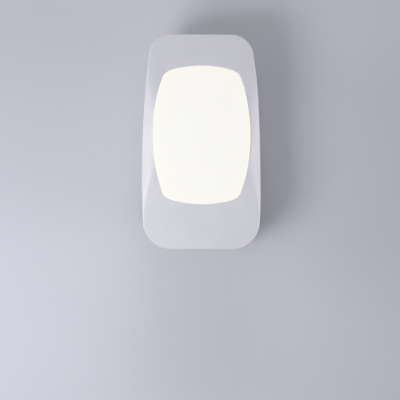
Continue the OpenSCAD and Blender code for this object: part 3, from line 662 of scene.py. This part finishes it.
def cap_rings():
    """The sections, carried along the cap from its lower end to its upper end."""
    ribs = np.linspace(-ribbed_length / 2, ribbed_length / 2, 113)
    end = cap_length / 2 - np.linspace(0, 1, 14)[:-1] ** 1.5 * (cap_length - ribbed_length) / 2
    places = np.concatenate([-end, ribs, end[::-1]])
    rings = []
    for up in places:
        section = cap_section(up)
        height = np.full(len(section), up + cap_lift)
        rings.append(np.stack([section[:, 1], section[:, 0], height], -1))
    return at_switch(np.array(rings))


slide_button = closed_surface("slide_button", cap_rings())
foot_outer = -(wall + foot_gap)
foot_inner = foot_outer - foot_thickness
neck = switch_block("neck", neck_length, neck_width, stem_corner, foot_inner + into_foot,
                    cap_bottom + into_cap, lift=cap_lift)
boolean(slide_button, neck, "UNION")
foot = switch_block("foot", foot_length, foot_width, stem_corner, foot_inner, foot_outer, lift=cap_lift)
boolean(slide_button, foot, "UNION")
smooth_shading(slide_button, 40)
slide_button.data.materials.append(moulded("knob_white", (214, 214, 219), roughness=0.42, grain=0.25))
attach(slide_button, "switch_slider")
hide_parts("switch_knob")


# ---------- Blades ----------
# Two flat blades stamped from brass strip: a wide one on the left and a narrow one on the right, each
# with a hole near its tip. Their shoulders are clamped inside the rear shell.

blade_round = 0.18
flat_angle = 1
sharp_angle = 35


def softened(node, name, radius, body="housing"):
    """A copy of a CAD node with its loose triangles merged, its flat faces joined and its sharp edges
    rounded, as tumbling after the press leaves them."""
    shape = bmesh.new()
    shape.from_mesh(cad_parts[node].data)
    bmesh.ops.remove_doubles(shape, verts=shape.verts, dist=1e-6)
    flat = np.radians(flat_angle)
    bmesh.ops.dissolve_limit(shape, angle_limit=flat, verts=shape.verts, edges=shape.edges)
    edges = [edge for edge in shape.edges if edge.is_manifold]
    sharp = [edge for edge in edges if edge.calc_face_angle() > np.radians(sharp_angle)]
    bmesh.ops.bevel(shape, geom=sharp, offset=radius / 1000, segments=3, profile=0.5, affect="EDGES")
    mesh = bpy.data.meshes.new(name)
    shape.to_mesh(mesh)
    shape.free()
    piece = bpy.data.objects.new(name, mesh)
    bpy.context.scene.collection.objects.link(piece)
    smooth_shading(piece)
    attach(piece, body)
    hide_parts(node)
    return piece


def stamped_brass():
    """Bright brass strip, with rolling lines along the blade and a few duller spots from handling."""
    finish = Finish("blade_brass", Metallic=1.0)
    spots = finish.between(finish.noise(3.5, 4), 0, 1, 0.45, 0.7)
    finish.colour(finish.mix(spots, linear(216, 187, 122), linear(186, 152, 92)))
    lines = finish.noise(0.12, 3, stretch=(1, 40, 1))
    finish.roughness(finish.between(lines, 0.2, 0.42, 0.3, 0.7))
    finish.relief(lines, 0.002)
    return finish.material


blade_brass = stamped_brass()
for node, name in (("line_blade", "narrow_blade"), ("neutral_blade", "wide_blade")):
    blade = softened(node, name, blade_round)
    blade.data.materials.append(blade_brass)


def dress(material, *names):
    """Gives CAD nodes whose shape is right a material."""
    for name in names:
        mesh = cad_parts[name].data
        mesh.materials.clear()
        mesh.materials.append(material)


# ---------- Screws ----------
# Zinc-plated pan head screws with cross recesses: four join the shells from the back, and smaller ones
# hold the boards, the tray and the blades' retainer plate.


def zinc_plate():
    """Bright zinc with a faint blue and yellow cast, and turning marks round the shaft."""
    finish = Finish("screw_steel", Metallic=1.0)
    cast = finish.between(finish.noise(1.2, 2), 0, 1, 0.35, 0.65)
    finish.colour(finish.mix(cast, linear(196, 201, 208), linear(212, 208, 192)))
    marks = finish.noise(0.15, 2)
    finish.roughness(finish.between(marks, 0.22, 0.4, 0.3, 0.7))
    finish.relief(marks, 0.002)
    return finish.material


dress(zinc_plate(), "housing_screws", "tray_screws", "led_board_screws", "driver_board_screws",
      "retainer_screws")


# ---------- Light tray and retainer plate ----------
# Two inner mouldings in satin white polycarbonate. The tray reflects the LEDs' light forwards and
# clamps the lens; the plate holds the blades' shoulders down.

tray_white = moulded("tray_white", (238, 238, 236), roughness=0.4, grain=0.3)
dress(tray_white, "reflector_tray", "blade_retainer")


# ---------- LED board ----------
# A glass-fibre board under white solder mask, with twelve LEDs soldered on in three columns. Each LED
# is yellow phosphor under clear resin, in a white frame.


def solder_mask(name, colour, track, roughness):
    """Solder mask over copper: the tracks show as slightly raised bands in another shade, cut out of
    stretched noise, above the weave of the glass."""
    finish = Finish(name, IOR=1.5)
    bands = finish.noise(5, 0, stretch=(1, 1, 6))
    tracks = finish.between(bands, 0, 1, 0.52, 0.53)
    finish.colour(finish.mix(tracks, linear(*colour), linear(*track)))
    weave = finish.noise(0.5, 1)
    finish.roughness(finish.between(weave, roughness - 0.05, roughness + 0.05, 0.3, 0.7))
    finish.relief(tracks, 0.035)
    return finish.material


def phosphor():
    """Yellow phosphor with fine grains, glossy on top."""
    finish = Finish("led_phosphor", IOR=1.5, Coat_Weight=0.6, Coat_Roughness=0.08)
    grains = finish.between(finish.noise(0.2, 2), 0, 1, 0.35, 0.65)
    finish.colour(finish.mix(grains, linear(240, 208, 96), linear(250, 228, 140)))
    finish.roughness(finish.between(grains, 0.35, 0.5))
    finish.relief(grains, 0.004)
    return finish.material


dress(solder_mask("board_white", (236, 236, 230), (224, 225, 216), 0.35), "led_board")
dress(phosphor(), "leds")


# ---------- Driver board ----------
# A green board on four stand-offs, with the dropper and smoothing capacitors, a bridge rectifier and
# the resistors that feed the LEDs.


def lacquer(name, colour, speckle, size, roughness, **sockets):
    """A dipped or moulded coat, in two close shades, with a skin like orange peel."""
    finish = Finish(name, IOR=1.5, **sockets)
    patches = finish.between(finish.noise(size, 3), 0, 1, 0.35, 0.65)
    finish.colour(finish.mix(patches, linear(*colour), linear(*speckle)))
    finish.roughness(finish.between(patches, roughness - 0.06, roughness + 0.06))
    finish.relief(finish.noise(size / 3, 2), 0.01)
    return finish.material


dress(solder_mask("board_green", (38, 104, 62), (52, 126, 74), 0.32), "driver_board")
dress(lacquer("capacitor_film", (203, 166, 62), (190, 150, 52), 1.6, 0.3), "film_capacitor")
sleeve = lacquer("capacitor_sleeve", (38, 42, 66), (30, 33, 54), 2.2, 0.22, Coat_Weight=0.3)
dress(sleeve, "electrolytic_capacitor")
dress(lacquer("chip_black", (44, 44, 45), (58, 58, 60), 0.4, 0.5), "bridge_rectifier", "chip_resistors")
dress(lacquer("resistor_green", (112, 140, 120), (98, 126, 106), 0.9, 0.38), "fusible_resistor")
dress(lacquer("resistor_tan", (206, 186, 150), (192, 170, 132), 0.9, 0.38), "bleeder_resistor")


# ---------- Slide switch ----------
# A standard slide switch: a folded tinplate can held in a cradle behind the side wall, with brass lugs
# and a black acetal lever that fits the button's foot.


def tinplate():
    """Folded tinplate: dull bright metal with fine rolling lines and faint stains."""
    finish = Finish("switch_steel", Metallic=1.0)
    stains = finish.between(finish.noise(2.5, 3), 0, 1, 0.4, 0.65)
    finish.colour(finish.mix(stains, linear(205, 206, 208), linear(182, 182, 184)))
    lines = finish.noise(0.1, 2, stretch=(1, 1, 25))
    finish.roughness(finish.between(lines, 0.25, 0.45, 0.3, 0.7))
    finish.relief(lines, 0.002)
    return finish.material


dress(tinplate(), "slide_switch_body")
dress(blade_brass, "switch_terminals")
dress(moulded("lever_black", (36, 36, 38), roughness=0.4, grain=0.3), "slide_switch_lever")


# ---------- Wires ----------
# Stranded wires in PVC: black and white from the blades to the driver board, red to the switch and
# blue to the LED board.


def insulation(name, colour):
    """Soft PVC: a satin skin with slight dents and a shade that wavers along the wire."""
    finish = Finish(name, IOR=1.52, Coat_Weight=0.2, Coat_Roughness=0.2)
    shade = np.array(linear(*colour))
    waver = finish.between(finish.noise(2.5, 2), 0, 1, 0.35, 0.65)
    finish.colour(finish.mix(waver, tuple(shade * [0.88, 0.88, 0.88, 1]), tuple(shade)))
    finish.roughness(finish.between(waver, 0.34, 0.46))
    finish.relief(finish.noise(0.6, 2), 0.006)
    return finish.material


for node, slot, colour in (
    ("line_lead", "wire_black", (40, 40, 42)),
    ("neutral_lead", "wire_white", (226, 226, 224)),
    ("switch_leads", "wire_red", (172, 38, 34)),
    ("led_leads", "wire_blue", (46, 84, 168)),
):
    dress(insulation(slot, colour), node)


# ---------- Wall, floor, lights and camera ----------
# A plain pale wall just behind the blades' tips, which shows only from the front, and a plain pale
# floor well below. The soft lamps stand around the light. The long-lens camera stands level with the
# blades, a little left of straight ahead, and is tipped up by a degree.

wall_gap = 1.5
pale = (206, 207, 216)


def stage_plane(name, corners, colour, glow):
    """A flat plane that only the camera sees, with the lamps' light and the object's shadow on it, and
    clear from behind. A share of its colour, glow, is there whatever the light."""
    piece = to_mesh(name, np.array(corners, float), [[0, 1, 2, 3]])
    material = bpy.data.materials.new(name)
    material.use_nodes = True
    nodes, links = material.node_tree.nodes, material.node_tree.links
    shader = nodes["Principled BSDF"]
    shade = np.array(linear(*colour))
    shader.inputs["Base Color"].default_value = (*(shade[:3] * (1 - glow)), 1)
    shader.inputs["Roughness"].default_value = 0.9
    shader.inputs["Specular IOR Level"].default_value = 0.1
    shader.inputs["Emission Color"].default_value = tuple(shade)
    shader.inputs["Emission Strength"].default_value = glow
    clear = nodes.new("ShaderNodeBsdfTransparent")
    mix = nodes.new("ShaderNodeMixShader")
    links.new(nodes.new("ShaderNodeNewGeometry").outputs["Backfacing"], mix.inputs[0])
    links.new(shader.outputs[0], mix.inputs[1])
    links.new(clear.outputs[0], mix.inputs[2])
    links.new(mix.outputs[0], nodes["Material Output"].inputs["Surface"])
    piece.data.materials.append(material)
    piece.visible_diffuse = False
    piece.visible_shadow = False


wall_depth = -(1000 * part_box("line_blade")[1].y + wall_gap)
left, right, below, above = -300, 300, -300, 400
stage_plane("wall", [[left, wall_depth, below], [right, wall_depth, below], [right, wall_depth, above],
                     [left, wall_depth, above]], (214, 215, 222), 0)
floor_z, wide = -400, 20000
stage_plane("floor", [[-wide, wide, floor_z], [wide, wide, floor_z], [wide, -wide, floor_z],
                      [-wide, -wide, floor_z]], pale, 0.95)


def lamp(name, azimuth, elevation, distance, size, power, colour):
    """A square soft lamp that faces the object's middle: azimuth to the right of straight in front and
    elevation in degrees, distance and size in metres, power in watts."""
    data = bpy.data.lights.new(name, "AREA")
    data.size = size
    data.energy = power
    data.color = colour
    turn, lift = np.radians(azimuth), np.radians(elevation)
    piece = bpy.data.objects.new(name, data)
    piece.location = (distance * np.sin(turn) * np.cos(lift), -distance * np.cos(turn) * np.cos(lift),
                      middle_z / 1000 + distance * np.sin(lift))
    piece.rotation_euler = (np.pi / 2 - lift, 0, turn)
    bpy.context.scene.collection.objects.link(piece)
    return piece


lamp("key_lamp", -33, -22, 0.4, 0.18, 0.9, (0.929, 0.927, 1.0))
lamp("left_lamp", -76, 8, 1.0, 0.45, 3.5, (1.0, 0.967, 0.849))
lamp("right_lamp", 83, -15, 1.0, 0.45, 7.7, (1.0, 0.972, 0.975))
lamp("top_lamp", 0, 70, 1.0, 0.45, 3.45, (0.898, 0.883, 1.0))
back_lamp = lamp("back_lamp", 166, 25, 1.0, 0.5, 8, (1.0, 0.98, 0.98))

# The back lamp is there for the back alone: its light doesn't go on from the housing to the wall.
back_lamp.data.cycles.max_bounces = 0

# A plain room: a faint cool light all round, and a pale backdrop for the camera and for gloss.
world = bpy.data.worlds.new("room")
bpy.context.scene.world = world
world.use_nodes = True
nodes, links = world.node_tree.nodes, world.node_tree.links
room = nodes["Background"]
room.inputs["Color"].default_value = (0.83, 0.87, 1.0, 1)
room.inputs["Strength"].default_value = 0.13
backdrop = nodes.new("ShaderNodeBackground")
backdrop.inputs["Color"].default_value = linear(*pale)
path = nodes.new("ShaderNodeLightPath")
seen = path.outputs["Is Camera Ray"]
for ray in ("Is Glossy Ray", "Is Transmission Ray"):
    either = nodes.new("ShaderNodeMath")
    either.operation = "MAXIMUM"
    links.new(seen, either.inputs[0])
    links.new(path.outputs[ray], either.inputs[1])
    seen = either.outputs[0]
choice = nodes.new("ShaderNodeMixShader")
links.new(seen, choice.inputs[0])
links.new(room.outputs[0], choice.inputs[1])
links.new(backdrop.outputs[0], choice.inputs[2])
links.new(choice.outputs[0], nodes["World Output"].inputs["Surface"])

camera = bpy.data.cameras.new("camera")
camera.lens = 85
camera.sensor_width = 36
camera_piece = bpy.data.objects.new("camera", camera)
camera_piece.location = (-0.0168, -0.5335, 0.0046)
camera_piece.rotation_euler = (np.radians(91.0), 0, np.radians(-1.8))
bpy.context.scene.collection.objects.link(camera_piece)
bpy.context.scene.camera = camera_piece
bpy.context.scene.view_settings.view_transform = "Standard"
